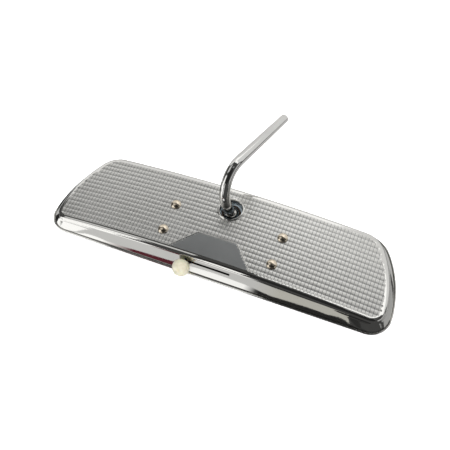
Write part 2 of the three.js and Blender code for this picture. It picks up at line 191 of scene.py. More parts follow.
plating = {"streakStretch": 18.0, "reliefDepth": 0.02}      # streaks' length over width; relief in mm
moulding = {"roughnessSwing": 0.08, "reliefDepth": 0.05}    # either side of the mean roughness; relief in mm


# Plated metal: a metal whose colour and roughness vary with smudges, and whose fine lines run one way.
# smudge, line and grain are feature sizes in mm; the painted shade colour, when given, darkens the colour
# where the groove attribute is 1;
# metallic is under 1 where part of the metal is made diffuse.
def platedMetal(name, bright, dull, roughness, spread, smudge, line, grain, bump, grooveShade=None, metallic=1.0):
    material, tree, shader = newMaterial(name)
    place = addNode(tree, "ShaderNodeTexCoord", {}).outputs["Object"]
    cloud = addNode(tree, "ShaderNodeTexNoise", {"Vector": place, "Scale": perMetre(smudge), "Detail": 4.0,
                                                 "Roughness": 0.6})
    stretch = plating["streakStretch"]
    along = addNode(tree, "ShaderNodeMapping", {"Vector": place, "Scale": (1.0, stretch, stretch)})
    streak = addNode(tree, "ShaderNodeTexNoise", {"Vector": along.outputs["Vector"],
                                                  "Scale": perMetre(line * stretch), "Detail": 3.0})
    fine = addNode(tree, "ShaderNodeTexNoise", {"Vector": place, "Scale": perMetre(grain), "Detail": 2.0})
    tone = addNode(tree, "ShaderNodeMix", {0: cloud.outputs["Fac"], 6: linear(dull), 7: linear(bright)},
                   data_type="RGBA")
    colour = tone.outputs[2]
    # painted shade: in the grooves the colour is darkened to the given shade colour
    if grooveShade:
        groove = addNode(tree, "ShaderNodeAttribute", {}, attribute_name="groove")
        colour = addNode(tree, "ShaderNodeMix", {0: groove.outputs["Fac"], 6: colour, 7: linear(grooveShade)},
                         data_type="RGBA").outputs[2]
    tree.links.new(colour, shader.inputs["Base Color"])
    mixed = addNode(tree, "ShaderNodeMath", {0: cloud.outputs["Fac"], 1: streak.outputs["Fac"]},
                    operation="MULTIPLY")
    rough = addNode(tree, "ShaderNodeMapRange", {"Value": mixed.outputs[0], "From Min": 0.12,
                                                 "From Max": 0.4, "To Min": roughness - spread,
                                                 "To Max": roughness + spread})
    tree.links.new(rough.outputs["Result"], shader.inputs["Roughness"])
    heights = addNode(tree, "ShaderNodeMath", {0: fine.outputs["Fac"], 1: streak.outputs["Fac"]},
                      operation="ADD")
    relief = addNode(tree, "ShaderNodeBump", {"Height": heights.outputs[0], "Strength": bump,
                                              "Distance": plating["reliefDepth"] * mm})
    tree.links.new(relief.outputs["Normal"], shader.inputs["Normal"])
    shader.inputs["Metallic"].default_value = metallic
    return material


# Chrome over pressed, embossed steel: satin, so that the sky softens in it; the grooves are painted darker,
# as painted shade.
embossedChrome = platedMetal("chromedEmbossedSteel", "#eeede9", "#e2e1dc", 0.31, 0.05, 22, 0.5, 0.35, 0.05,
                             grooveShade="#85878a")
# Chrome over the flat stamped panel: a slightly rougher, even grey beside the embossing; its darker colour is
# painted shade for the panel's darker reflection.
panelChromePaintedShade = platedMetal("chromedFlatPanelPaintedShade", "#a8aaaa", "#999b9b", 0.36, 0.05, 16, 0.5, 0.35, 0.04)
# Chrome over polished steel: a clear reflection, with faint wiping marks.
polishedChrome = platedMetal("chromedPolishedSteel", "#edece8", "#e3e2de", 0.06, 0.03, 18, 0.4, 0.5, 0.05)
# Chrome over drawn rod: clear, with slight haze from handling.
rodChrome = platedMetal("chromedDrawnRod", "#eeedea", "#e4e3e0", 0.08, 0.03, 12, 0.3, 0.4, 0.06)
# Zinc die casting: blue-grey, with the fine grain of the mould; its colour is lightened and only partly
# metallic as painted light, for the light the deep ball hole lacks.
dieCastZincPaintedLight = platedMetal("dieCastZincPaintedLight", "#c3ced4", "#9aa6ad", 0.32, 0.08, 4, 0.5, 0.25, 0.5,
                          metallic=0.4)
# Zinc plated pressed steel: grey, half dull, with rolling lines.
platedSteel = platedMetal("zincPlatedSteel", "#a9abac", "#8a8c8e", 0.36, 0.08, 9, 0.35, 0.3, 0.4)
# Oil-blackened spring steel: dark, with a soft gloss.
blackSpring = platedMetal("oilBlackenedSpringSteel", "#5a5f66", "#3d4147", 0.34, 0.06, 5, 0.4, 0.3, 0.3)
# Nickel plated brass rivet: warm and bright, lightly hammered.
nickelRivet = platedMetal("nickelPlatedBrass", "#f7ebd8", "#eadbc3", 0.16, 0.05, 2.5, 0.6, 0.9, 0.35)


# Non-metal with two mottled tones: moulded plastic, fibre or card. mottle and grain are sizes in mm.
def mottledSolid(name, light, dark, roughness, mottle, grain, bump, sub=0.0):
    material, tree, shader = newMaterial(name)
    place = addNode(tree, "ShaderNodeTexCoord", {}).outputs["Object"]
    cloud = addNode(tree, "ShaderNodeTexNoise", {"Vector": place, "Scale": perMetre(mottle), "Detail": 5.0,
                                                 "Roughness": 0.65})
    fine = addNode(tree, "ShaderNodeTexNoise", {"Vector": place, "Scale": perMetre(grain), "Detail": 3.0})
    share = addNode(tree, "ShaderNodeMapRange", {"Value": cloud.outputs["Fac"], "From Min": 0.35,
                                                 "From Max": 0.65})
    tone = addNode(tree, "ShaderNodeMix", {0: share.outputs["Result"], 6: linear(dark), 7: linear(light)},
                   data_type="RGBA")
    tree.links.new(tone.outputs[2], shader.inputs["Base Color"])
    swing = moulding["roughnessSwing"]
    rough = addNode(tree, "ShaderNodeMapRange", {"Value": cloud.outputs["Fac"], "To Min": roughness + swing,
                                                 "To Max": roughness - swing})
    tree.links.new(rough.outputs["Result"], shader.inputs["Roughness"])
    relief = addNode(tree, "ShaderNodeBump", {"Height": fine.outputs["Fac"], "Strength": bump,
                                              "Distance": moulding["reliefDepth"] * mm})
    tree.links.new(relief.outputs["Normal"], shader.inputs["Normal"])
    shader.inputs["Subsurface Weight"].default_value = sub
    shader.inputs["Subsurface Radius"].default_value = (1.6 * mm, 1.2 * mm, 0.7 * mm)
    return material


# Moulded ivory plastic: warm, a little translucent, with faint darker clouding.
ivoryPlastic = mottledSolid("mouldedIvoryPlastic", "#ece8d3", "#dcd6bb", 0.33, 2.2, 0.4, 0.2, sub=0.25)
# Vulcanised fibre: dark brown, dull, with a paper grain; its darkness is partly painted shade of the deep
# ball hole.
brownFibrePaintedShade = mottledSolid("vulcanisedFibre", "#3c332c", "#29221d", 0.75, 1.5, 0.2, 0.6)
# Grey-brown board: matt, flecked.
greyBoard = mottledSolid("greyBackingBoard", "#776b57", "#5e5340", 0.9, 1.0, 0.25, 0.7)
# Ground glass edge: pale green, matt.
groundEdge = mottledSolid("groundGlassEdge", "#b9cdc3", "#9db5aa", 0.5, 0.8, 0.15, 0.5)
# Silvered glass: a near perfect mirror, with the slightest unevenness of drawn glass.
silveredGlass = platedMetal("silveredGlass", "#eef1f0", "#e9edec", 0.012, 0.006, 40, 2.0, 4.0, 0.01)
print("materials made")


outlineSizes = {"bottom": -42.2, "top": 15.8, "halfWidth": 118.75, "sideRadius": 83.0, "widestY": -35.5,
                "bottomCorner": 7.0, "topCorner": 15.0}
sideCentre = np.array([outlineSizes["halfWidth"] - outlineSizes["sideRadius"], outlineSizes["widestY"]])


# centre of a corner arc of that radius: it touches the side arc and a straight edge
def cornerCentre(radius, y):
    reach = outlineSizes["sideRadius"] - radius
    return np.array([sideCentre[0] + math.sqrt(reach ** 2 - (y - sideCentre[1]) ** 2), y])


lowCentre = cornerCentre(outlineSizes["bottomCorner"], outlineSizes["bottom"] + outlineSizes["bottomCorner"])
highCentre = cornerCentre(outlineSizes["topCorner"], outlineSizes["top"] - outlineSizes["topCorner"])
lowJoin = math.atan2(*(lowCentre - sideCentre)[::-1])
highJoin = math.atan2(*(highCentre - sideCentre)[::-1])


# right half of the outline as points and outward normals, bottom to top, then its mirror image:
# a point on an arc is centre + radius n, with n = (cos a, sin a)
def outlineLoop(straight=40, corner=14, side=44):
    angles = [np.linspace(-np.pi / 2, lowJoin, corner), np.linspace(lowJoin, highJoin, side)[1:-1],
              np.linspace(highJoin, np.pi / 2, corner)]
    arcs = zip(angles, (lowCentre, sideCentre, highCentre),
               (outlineSizes["bottomCorner"], outlineSizes["sideRadius"], outlineSizes["topCorner"]))
    curves = [(c + r * np.stack([np.cos(a), np.sin(a)], -1), np.stack([np.cos(a), np.sin(a)], -1))
              for a, c, r in arcs]
    low = np.linspace(0, lowCentre[0], straight)[:-1]
    high = np.linspace(highCentre[0], 0, straight)[1:-1]
    lowLine = np.stack([low, np.full_like(low, outlineSizes["bottom"])], -1)
    highLine = np.stack([high, np.full_like(high, outlineSizes["top"])], -1)
    points = np.concatenate([lowLine] + [p for p, n in curves] + [highLine])
    normals = np.concatenate([np.tile([0.0, -1.0], (len(low), 1))] + [n for p, n in curves]
                             + [np.tile([0.0, 1.0], (len(high), 1))])
    topMiddle = np.array([[0.0, outlineSizes["top"]]])
    mirror = np.array([-1.0, 1.0])
    points = np.concatenate([points, topMiddle, (points * mirror)[:0:-1]])
    normals = np.concatenate([normals, [[0.0, 1.0]], (normals * mirror)[:0:-1]])
    return points, normals


# section points (out, z) carried round the outline: p + out n, at height z
def framed(section, loop, normals, close=True):
    section = np.asarray(section, float)
    flat = loop[None] + section[:, :1, None] * normals[None]
    z = np.broadcast_to(section[:, 1][:, None, None], (*flat.shape[:2], 1))
    points = np.concatenate([flat, z], -1).reshape(-1, 3)
    return points, gridQuads(len(section), len(loop), close, True)


shell = {"crownTop": 20.5, "crownDrop": 0.000571, "sheet": 0.8,
         "cellWidth": 2.488, "cellHeight": 3.62, "firstColumn": 1.75, "firstRow": 1.15,
         "columnShare": 0.11, "rowShare": 0.065, "columnDepth": 0.055, "rowDepth": 0.045,
         "pillow": 0.012, "rowShade": 0.6,
         "clearFrom": 0.8, "edgeFade": 0.6, "panelFade": 0.5, "lipFade": 0.8,
         "polishedMargin": 0.9, "polishedLip": 0.15, "panelInset": 0.4,
         "edgeRows": (0.0, 0.08, 0.25, 0.6, 1.0, 1.8), "edgeBand": 2.0, "lineGap": 0.2,
         "foldOut": 2.9, "foldDown": 2.6, "foldPull": (2.4, 0.15), "footOut": 6.3, "footZ": 5.3,
         "wallShares": (0.55, 0.8, 0.97), "footLip": ((0.12, 0.3), (0.15, 0.6)),
         "slotHalf": 16.95, "slotZ": (14.05, 15.95), "slotMiddle": 9.0,
         "holeRadius": 8.0, "lipRadius": 9.4, "lipOverlap": 0.75, "lipRise": 0.8, "lipDrop": 1.0,
         "panelTop": (14.3, -24.6), "panelFoot": 30.0, "beadRadius": 0.4, "beadSink": 0.09}


# crownTop - crownDrop x^2
def crown(x):
    return shell["crownTop"] - shell["crownDrop"] * x ** 2


# distance inside the plate's edge, from the straight edges and the three arcs
def insideBy(x, y):
    across = np.abs(x)
    toSide = outlineSizes["sideRadius"] - np.hypot(across - sideCentre[0], y - sideCentre[1])
    inside = np.minimum(np.minimum(y - outlineSizes["bottom"], outlineSizes["top"] - y), toSide)
    for centre, radius, sign in ((lowCentre, outlineSizes["bottomCorner"], -1),
                                 (highCentre, outlineSizes["topCorner"], 1)):
        corner = (across > centre[0]) & (sign * (y - centre[1]) > 0)
        toCorner = radius - np.hypot(across - centre[0], y - centre[1])
        inside = np.where(corner, np.minimum(inside, toCorner), inside)
    return inside


# distance inside the smooth trapezoid panel above the bottom edge
def insidePanel(x, y):
    topX, topY = shell["panelTop"]
    lean = np.array([shell["panelFoot"] - topX, outlineSizes["bottom"] - topY])
    outwards = np.array([-lean[1], lean[0]]) / np.hypot(*lean)
    toSide = -((np.abs(x) - topX) * outwards[0] + (y - topY) * outwards[1])
    return np.minimum(toSide, topY - y)


# smooth step 3 t^2 - 2 t^3 from 0 to 1 over the width
def faded(distance, width):
    t = np.clip(distance / width, 0, 1)
    return t * t * (3 - 2 * t)


# columns and rows are 1 on a groove line and 0 from its shoulder on: 1 - d / (share pitch) for the
# distance d to the nearest line. Both are multiplied by clear, which fades to 0 at edge, panel and lip.
def grooves(x, y):
    def lineAt(value, first, pitch, share):
        distance = np.abs((value - first + pitch / 2) % pitch - pitch / 2)
        return np.clip(1 - distance / (share * pitch), 0, 1)
    columns = lineAt(x, shell["firstColumn"], shell["cellWidth"], shell["columnShare"])
    rows = lineAt(y, shell["firstRow"], shell["cellHeight"], shell["rowShare"])
    clear = faded(insideBy(x, y) - shell["clearFrom"], shell["edgeFade"])
    clear = clear * faded(-insidePanel(x, y), shell["panelFade"])
    clear = clear * faded(np.hypot(x, y) - shell["lipRadius"], shell["lipFade"])
    return columns * clear, rows * clear, clear


# crown - the deeper of the two grooves + pillow * cos(pi u) cos(pi v) * clear over each cell
def plateHeight(x, y):
    columns, rows, clear = grooves(x, y)
    groove = np.maximum(columns * shell["columnDepth"], rows * shell["rowDepth"])
    u = ((x - shell["firstColumn"]) / shell["cellWidth"]) % 1 - 0.5
    v = ((y - shell["firstRow"]) / shell["cellHeight"]) % 1 - 0.5
    pillow = shell["pillow"] * np.cos(np.pi * u) * np.cos(np.pi * v) * clear
    return crown(x) - groove + pillow


# lines at each groove, its two shoulders and the middle of each cell, between two limits
def cellLines(first, pitch, share, low, high):
    cells = np.arange(math.floor((low - first) / pitch) - 1, math.ceil((high - first) / pitch) + 1)
    lines = (cells[:, None] + np.array([0, share, 0.5, 1 - share])[None]).ravel() * pitch + first
    return lines[(lines > low + shell["lineGap"]) & (lines < high - shell["lineGap"])]


# half width of the plate at height y: the arc that holds there
def halfWidth(y):
    def arcX(centre, radius):
        return centre[0] + np.sqrt(np.maximum(radius ** 2 - (y - centre[1]) ** 2, 0))
    low = arcX(lowCentre, outlineSizes["bottomCorner"])
    side = arcX(sideCentre, outlineSizes["sideRadius"])
    high = arcX(highCentre, outlineSizes["topCorner"])
    lowY = sideCentre[1] + outlineSizes["sideRadius"] * math.sin(lowJoin)
    highY = sideCentre[1] + outlineSizes["sideRadius"] * math.sin(highJoin)
    return np.where(y < lowY, low, np.where(y > highY, high, side))


# the grid's own edge as an ordered loop of points with outward normals
def plateEdge(columns, rows):
    inLow = columns[np.abs(columns) < lowCentre[0]]
    inHigh = columns[np.abs(columns) < highCentre[0]]
    right = np.stack([halfWidth(rows), rows], -1)
    bottom = np.stack([inLow, np.full_like(inLow, rows[0])], -1)
    top = np.stack([inHigh[::-1], np.full_like(inHigh, rows[-1])], -1)
    loop = np.concatenate([bottom, right, top, (right * [-1, 1])[::-1]])
    across = np.abs(loop[:, 0])
    y = loop[:, 1]
    inLowCorner = (y < lowCentre[1]) & (across >= lowCentre[0] - 1e-9)
    inHighCorner = (y > highCentre[1]) & (across >= highCentre[0] - 1e-9)
    lowY = sideCentre[1] + outlineSizes["sideRadius"] * math.sin(lowJoin)
    highY = sideCentre[1] + outlineSizes["sideRadius"] * math.sin(highJoin)
    centre = np.where((y < lowY)[:, None], lowCentre, np.where((y > highY)[:, None], highCentre, sideCentre))
    normal = unit(np.stack([across, y], -1) - centre) * np.stack([np.sign(loop[:, 0]), np.ones(len(y))], -1)
    straightLow = (y <= rows[0] + 1e-9) & ~inLowCorner
    straightHigh = (y >= rows[-1] - 1e-9) & ~inHighCorner
    normal = np.where(straightLow[:, None], [0.0, -1.0], normal)
    normal = np.where(straightHigh[:, None], [0.0, 1.0], normal)
    return loop, normal


# rings of (out, drop) from the plate's edge: a Bezier fold, then the straight wall down to the foot
def wallRings(loop, normal):
    edge = crown(loop[:, 0])
    t = np.linspace(0, 1, 8)[1:, None]
    pullOut, pullDown = shell["foldPull"]
    foldOut = 2 * (1 - t) * t * pullOut + t ** 2 * shell["foldOut"]
    foldDrop = 2 * (1 - t) * t * pullDown + t ** 2 * shell["foldDown"]
    foldZ = edge[None] - foldDrop
    wallTop = edge - shell["foldDown"]
    middle = crown(shell["slotMiddle"]) - shell["foldDown"]
    share = [(middle - z) / (middle - shell["footZ"]) for z in (shell["slotZ"][1], shell["slotZ"][0])]
    s = np.array([*share, *shell["wallShares"]])[:, None]
    wallOut = shell["foldOut"] + s * (shell["footOut"] - shell["foldOut"])
    wallZ = wallTop[None] * (1 - s) + shell["footZ"] * s
    foot = np.array([[shell["footOut"] + out, shell["footZ"] - down] for out, down in shell["footLip"]])
    out = np.concatenate([foldOut, wallOut, foot[:, :1]])
    z = np.concatenate([foldZ, wallZ, np.broadcast_to(foot[:, 1:], (2, len(loop)))])
    flat = loop[None] + out[:, :, None] * normal[None]
    return np.concatenate([flat, z[:, :, None]], -1)


def makeBackShell():
    limit = outlineSizes["halfWidth"] + 0.5
    fine = np.array(shell["edgeRows"])
    band = shell["edgeBand"]
    rows = np.concatenate([outlineSizes["bottom"] + fine, outlineSizes["top"] - fine,
                           cellLines(shell["firstRow"], shell["cellHeight"], shell["rowShare"],
                                     outlineSizes["bottom"] + band, outlineSizes["top"] - band)])
    rows = np.sort(rows)
    columns = cellLines(shell["firstColumn"], shell["cellWidth"], shell["columnShare"], -limit, limit)
    half = halfWidth(rows)
    x = np.clip(columns[None], -half[:, None], half[:, None])
    y = np.broadcast_to(rows[:, None], x.shape)
    plate = np.stack([x, y, plateHeight(x, y)], -1)
    plateQuads = gridQuads(len(rows), len(columns))
    centres = plate.reshape(-1, 3)[plateQuads].mean(1)
    plateQuads = plateQuads[np.hypot(centres[:, 0], centres[:, 1]) > shell["lipRadius"] - shell["lipOverlap"]]

    loop, normal = plateEdge(columns, rows)
    rings = wallRings(loop, normal)
    first = np.concatenate([loop, plateHeight(*loop.T)[:, None]], -1)[None]
    rings = np.concatenate([first, rings])
    ringQuads = gridQuads(len(rings), len(loop), False, True)[:, ::-1]
    middles = rings.reshape(-1, 3)[ringQuads].mean(1)
    low, high = shell["slotZ"]
    inSlot = (np.abs(middles[:, 0]) < shell["slotHalf"]) & (middles[:, 1] < outlineSizes["bottom"])
    inSlot &= (middles[:, 2] > low) & (middles[:, 2] < high)
    sheet = combined((plate.reshape(-1, 3), plateQuads), (rings.reshape(-1, 3), ringQuads[~inSlot]))
    piece = newPiece("embossedBack", sheet, outward=False)

    thickness = piece.modifiers.new("sheetThickness", "SOLIDIFY")
    thickness.thickness = shell["sheet"] * mm
    thickness.offset = -1
    seen = piece.evaluated_get(bpy.context.evaluated_depsgraph_get())
    solid = bpy.data.meshes.new_from_object(seen)
    piece.modifiers.clear()
    piece.data = solid

    # rolled lip of the ball hole, and the raised line round the smooth panel
    hole, lip = shell["holeRadius"], shell["lipRadius"]
    top = crown(0.0)
    crest, root = top + shell["lipRise"], top - shell["lipDrop"]
    section = rounded([(lip + 0.1, top - 0.3), (lip, top + 0.3), (lip - 0.45, crest), (hole + 0.35, crest),
                       (hole, top + 0.2), (hole, root), (hole + 0.7, root)],
                      [0.1, 0.3, 0.45, 0.45, 0.5, 0.2, 0.2], 5)
    topX, topY = shell["panelTop"]
    foot = (shell["panelFoot"], outlineSizes["bottom"] + 0.4)
    corners = np.array([(foot[0], foot[1]), (topX, topY), (-topX, topY), (-foot[0], foot[1])])
    t = np.linspace(0, 1, 40)[:, None]
    bead = np.concatenate([a + (b - a) * t for a, b in zip(corners[:-1], corners[1:])])[:-1]
    bead = bead[np.insert(np.linalg.norm(np.diff(bead, axis=0), axis=1) > 1e-6, 0, True)]
    path = np.column_stack([bead, crown(bead[:, 0]) - shell["beadSink"]])
    beadRadii = np.where(np.arange(len(path)) % (len(path) - 1) == 0, 0, shell["beadRadius"])
    line = swept(path, beadRadii, (0, 0, 1), 10)
    extra = newPiece("pressedLines", combined(turned(section, sides=96), line))
    work = bmesh.new()
    work.from_mesh(solid)
    work.from_mesh(extra.data)
    work.to_mesh(solid)
    work.free()
    bpy.data.objects.remove(extra)

    co = np.empty(len(solid.vertices) * 3)
    solid.vertices.foreach_get("co", co)
    spot = (co.reshape(-1, 3) - headShift) / mm
    columns, rows = grooves(spot[:, 0], spot[:, 1])[:2]
    # painted shade: the groove marks, rows at a share of the columns, darken the plate's colour in its
    # grooves
    groove = np.maximum(columns, shell["rowShade"] * rows) * (insideBy(spot[:, 0], spot[:, 1]) > 0)
    solid.attributes.new("groove", "FLOAT", "POINT").data.foreach_set("value", groove.astype(np.float32))
    finishPiece(piece, "head", ["back_shell"],
                [embossedChrome, polishedChrome, panelChromePaintedShade], 50)
    faceMiddle = np.empty(len(solid.polygons) * 3)
    solid.polygons.foreach_get("center", faceMiddle)
    spot = (faceMiddle.reshape(-1, 3) - headShift) / mm
    onLip = np.hypot(spot[:, 0], spot[:, 1]) < lip + shell["polishedLip"]
    polished = (insideBy(spot[:, 0], spot[:, 1]) < shell["polishedMargin"]) | onLip
    # painted shade: the panel's faces inside its raised border take the darker panel chrome
    onPanel = (insidePanel(spot[:, 0], spot[:, 1]) > shell["panelInset"]) & ~polished
    solid.polygons.foreach_set("material_index", (polished + 2 * onPanel).astype(np.int32))


makeBackShell()
print("back shell made")


bezel = {"out": 7.55, "top": 5.3, "rollOut": 3.4, "rollZ": 5.0, "lip": 1.2, "sheet": 0.8,
         "beads": ((4.15, 0.28, 0.22), (3.0, 0.16, 0.28))}


# quarter ellipse out = a + b cos(t), z = c (1 - sin(t)), less a narrow dip at each bead line
def makeBezel():
    t = np.linspace(0, np.pi / 2, 44)
    reach = bezel["out"] - bezel["rollOut"]
    z = bezel["rollZ"] * (1 - np.sin(t))
    out = bezel["rollOut"] + reach * np.cos(t)
    for height, depth, width in bezel["beads"]:
        out = out - depth * np.exp(-((z - height) / width) ** 2)
    outer = np.stack([out, z], -1)
    inner = np.stack([bezel["rollOut"] + (reach - bezel["sheet"]) * np.cos(t[::-3]),
                      bezel["sheet"] + (bezel["rollZ"] - bezel["sheet"]) * (1 - np.sin(t[::-3]))], -1)
    rim = rounded([(bezel["out"] - bezel["sheet"], bezel["top"] - 0.2),
                   (bezel["out"] - 0.4, bezel["top"] + 0.1),
                   (bezel["out"], bezel["top"] - 0.3)], [0, 0.3, 0], 3)
    lip = rounded([(bezel["lip"] + 0.6, 0.0), (bezel["lip"], 0.0), (bezel["lip"], bezel["sheet"]),
                   (bezel["lip"] + 0.6, bezel["sheet"])], [0, 0.35, 0.35, 0], 4)
    section = np.concatenate([rim, outer, lip, inner])
    piece = newPiece("polishedBezel", framed(section, *outlineLoop()))
    finishPiece(piece, "head", ["front_bezel"], [polishedChrome], 40)


makeBezel()


glass = {"edge": 2.4, "front": 1.2, "thin": 1.8, "thick": 4.8, "arris": 0.35}


# prism glass: flat front, back rising evenly from the bottom edge to the top, with ground arrises
def makeGlass():
    loop, normal = outlineLoop()
    low, high = (outlineSizes["bottom"] - glass["edge"], outlineSizes["top"] + glass["edge"])
    def layer(out, front, offset):
        flat = loop + out * normal
        rise = (flat[:, 1] - low) / (high - low)
        back = glass["front"] + glass["thin"] + (glass["thick"] - glass["thin"]) * rise
        z = np.full(len(flat), glass["front"]) + offset if front else back - offset
        return np.column_stack([flat, z])
    e, a = glass["edge"], glass["arris"]
    layers = np.stack([layer(e - 4, False, 0), layer(e - a, False, 0), layer(e, False, a), layer(e, True, a),
                       layer(e - a, True, 0), layer(e - 4, True, 0)])
    points = layers.reshape(-1, 3)
    count = len(loop)
    caps = [list(range(count)), list(range(len(points) - 1, len(points) - 1 - count, -1))]
    mesh = bpy.data.meshes.new("prismGlass")
    mesh.from_pydata((points * mm + headShift).tolist(), [],
                     gridQuads(len(layers), count, False, True).tolist() + caps)
    work = bmesh.new()
    work.from_mesh(mesh)
    bmesh.ops.recalc_face_normals(work, faces=work.faces)
    work.to_mesh(mesh)
    work.free()
    piece = bpy.data.objects.new("prismGlass", mesh)
    bpy.context.scene.collection.objects.link(piece)
    finishPiece(piece, "glass_carrier", ["mirror_glass"], [silveredGlass, groundEdge], 25)
    ground = np.abs(np.array([face.normal.z for face in mesh.polygons])) < 0.9
    mesh.polygons.foreach_set("material_index", ground.astype(np.int32))


makeGlass()
print("bezel and glass made")


joint = {"ball": 6.0, "ballLow": -4.9, "ballHigh": 4.5, "bore": 2.3, "boreDepth": -1.0,
         "liner": (6.3, 7.0), "linerZ": (-2.6, 2.2), "ring": (7.3, 8.6), "ringZ": (-3.0, 2.4),
         "socket": 8.9, "collar": 12.0, "collarZ": (0.15, 3.4), "washer": (9.3, 12.2), "washerZ": (3.7, 4.9)}


# ring between two balls, cut flat at two heights, with a shallow groove turned in its upper face
def roundRing(inner, outer, low, high, dip=0.0):
    outside, inside = ballArc(outer, low, high, 16), ballArc(inner, high, low, 16)
    face = np.linspace(outside[-1], inside[0], 12)[1:-1]
    face[:, 1] -= dip * np.exp(-((np.linspace(-1, 1, 10)) / 0.35) ** 2)
    return np.concatenate([outside, face, inside])


def makeBallJoint():
    centre = (0, 0, ballHeight)
    # painted light in the ball hole: the seat ring and socket cap are lightened
    ring = turned(roundRing(*joint["ring"], *joint["ringZ"], 0.25), centre, sides=96)
    finishPiece(newPiece("seatRing", ring), "ring", ["friction_ring"], [dieCastZincPaintedLight])
    # painted shade: the liner is coloured dark to read as the shadow deep in the ball hole
    liner = turned(roundRing(*joint["liner"], *joint["linerZ"]), centre, sides=96)
    finishPiece(newPiece("fibreLiner", liner), "liner", ["ball_liner"], [brownFibrePaintedShade])
    low, high = joint["collarZ"]
    inside = ballArc(joint["socket"], high, low, 14)
    outside = rounded([inside[-1], (joint["collar"], low), (joint["collar"], high), inside[0]],
                      [0, 0.2, 0.6, 0], 5)
    collar = turned(np.concatenate([outside, inside[1:-1]]), centre, sides=96)
    finishPiece(newPiece("socketCap", collar), "head", ["socket_collar"], [dieCastZincPaintedLight])
    (near, far), (down, up) = joint["washer"], joint["washerZ"]
    disc = rounded([(near, up), (far, down), (far, down + 0.6), (near, up + 0.6)], 0.12, 3)
    finishPiece(newPiece("coneWasher", turned(disc, centre, sides=96)), "head",
                ["spring_washer"], [blackSpring])


makeBallJoint()


arm = {"radius": 3.7, "tipRadius": 3.1, "tenon": 2.0, "stem": 14.0, "bendRadius": 19.5, "bendAngle": 109.0,
       "azimuth": 79.0, "length": 60.0, "shoulder": 4.8, "tipRound": 0.8, "sides": 56}


# turn that carries +Z onto the stem: first down about X, then sideways about Y
def stemTurn():
    down = -math.asin(stemAxis.y)
    side = math.atan2(stemAxis.x, stemAxis.z)
    return np.array(Matrix.Rotation(side, 3, "Y") @ Matrix.Rotation(down, 3, "X"))


# centre line: straight up the stem, an arc of the bend's radius, then straight along the arm
def makeArm():
    turn = stemTurn()
    bendEnd = math.radians(arm["bendAngle"])
    r = arm["bendRadius"]
    a = np.linspace(0, bendEnd, 40)[1:]
    bend = np.stack([r * (1 - np.cos(a)), arm["stem"] + r * np.sin(a)], -1)
    cap = arm["tipRound"] * np.sin(np.linspace(0, np.pi / 2, 7))
    reach = np.concatenate([np.linspace(0, arm["length"] - arm["tipRound"], 14)[1:],
                            arm["length"] - arm["tipRound"] + cap[1:]])
    straight = bend[-1] + reach[:, None] * np.array([math.sin(bendEnd), math.cos(bendEnd)])
    foot = np.array([-0.6, -0.6, -0.4, 4.7, arm["shoulder"], arm["shoulder"] + 0.05, arm["shoulder"] + 0.3,
                     8, 11, arm["stem"]])
    footRadius = np.array([0, arm["tenon"] - 0.2, arm["tenon"], arm["tenon"], arm["radius"] - 0.35,
                           arm["radius"] - 0.15, arm["radius"], arm["radius"], arm["radius"], arm["radius"]])
    line = np.concatenate([np.stack([0 * foot, foot], -1), bend, straight, straight[-1:]])
    taper = arm["radius"] + (arm["tipRadius"] - arm["radius"]) * reach / arm["length"]
    taper[-6:] -= arm["tipRound"] * (1 - np.cos(np.linspace(0, np.pi / 2, 7)[1:]))
    radii = np.concatenate([footRadius, np.full(len(bend), arm["radius"]), taper, [0]])
    azimuth = math.radians(arm["azimuth"])
    outwards = np.array([math.cos(azimuth), math.sin(azimuth), 0])
    across = np.array([-math.sin(azimuth), math.cos(azimuth), 0])
    path = line[:, :1] * outwards + line[:, 1:] * np.array([0, 0, 1])
    heading = np.gradient(line, axis=0)
    heading[0], heading[1], heading[-1] = (0, 1), (0, 1), heading[-3]
    heading = unit(heading)
    side = heading[:, 1:] * outwards - heading[:, :1] * np.array([0, 0, 1])
    ang = np.linspace(0, 2 * np.pi, arm["sides"], endpoint=False)[None, :, None]
    points = path[:, None] + radii[:, None, None] * (np.cos(ang) * side[:, None] + np.sin(ang) * across)
    points = points.reshape(-1, 3) @ turn.T + np.array([0, 0, ballHeight])
    rod = newPiece("bentRod", (points, gridQuads(len(path), arm["sides"], False, True)))
    finishPiece(rod, "arm", ["arm_rod"], [rodChrome])
    skin = ballArc(joint["ball"], joint["ballLow"], joint["ballHigh"], 40)
    profile = np.concatenate([[(0, joint["ballLow"])], skin, rounded(
        [(joint["bore"] + 0.6, joint["ballHigh"]), (joint["bore"], joint["ballHigh"]),
         (joint["bore"], joint["boreDepth"]), (0, joint["boreDepth"])], [0, 0.3, 0.2, 0], 3)])
    ball = turned(profile, (0, 0, ballHeight), stemAxis, 96)
    finishPiece(newPiece("polishedBall", ball), "arm", ["swivel_ball"], [rodChrome])


makeArm()
print("ball joint and arm made")


rivet = {"radius": 3.6, "height": 2.0, "fullness": 0.92, "shank": 1.7, "underHead": 3.3, "clinch": 2.9,
         "clinchTop": -3.7, "clinchEnd": -4.8}


